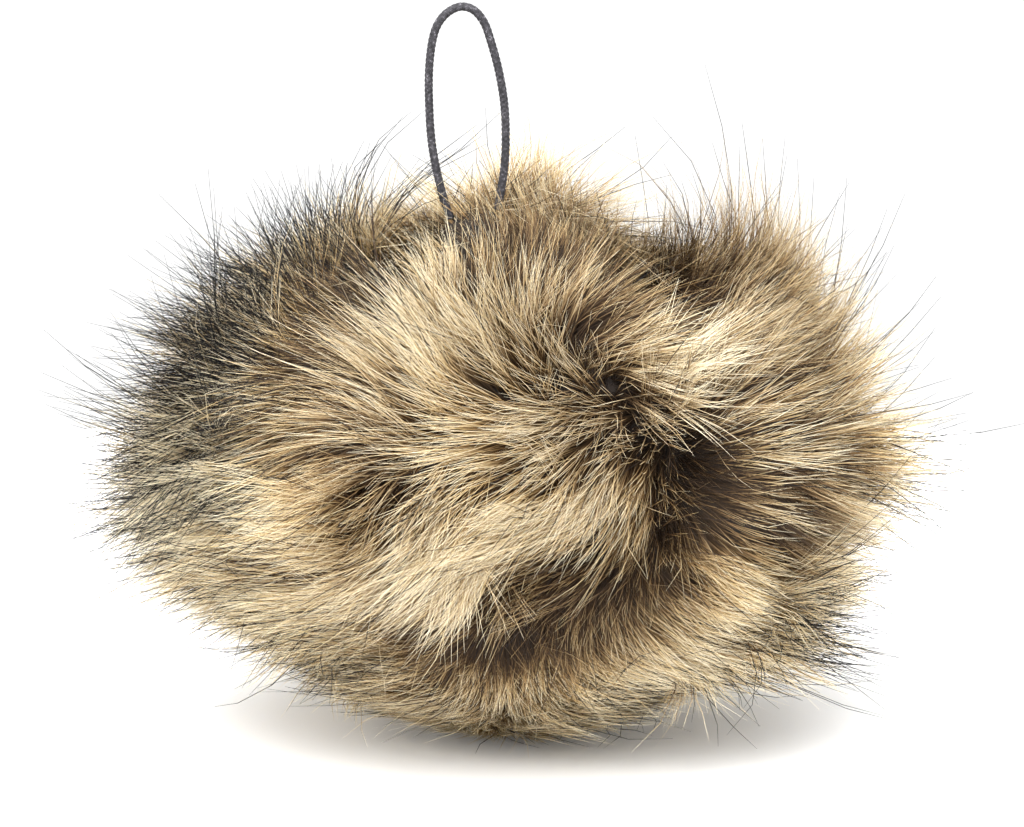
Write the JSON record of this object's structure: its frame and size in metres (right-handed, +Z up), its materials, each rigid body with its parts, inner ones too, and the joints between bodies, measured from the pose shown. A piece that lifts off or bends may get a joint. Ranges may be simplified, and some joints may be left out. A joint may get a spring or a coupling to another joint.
{
  "type": "pom pom",
  "caption": "Long-haired fur fabric gathered into a soft ball that rests on a small flat spot, with a thin elastic loop at the top to hang or fasten it by",
  "frame": {"origin": "the middle of the small flat spot that the ball rests on", "axes": "+Z is up, out of the gathered mouth that the elastic loop stands in; +X is across the ball, to the right seen from the front, and its widest way; -Y is towards the front"},
  "size_m": [0.1124, 0.1034, 0.0967],
  "materials": {
    "fur": "long soft synthetic hair, dark brown at the roots, tan to cream outside, with scattered black-tipped guard hairs",
    "elastic": "matt charcoal braided cord"
  },
  "bodies": {
    "root": {"fur_ball": "fur", "elastic_loop": "elastic"}
  },
  "joints": []
}
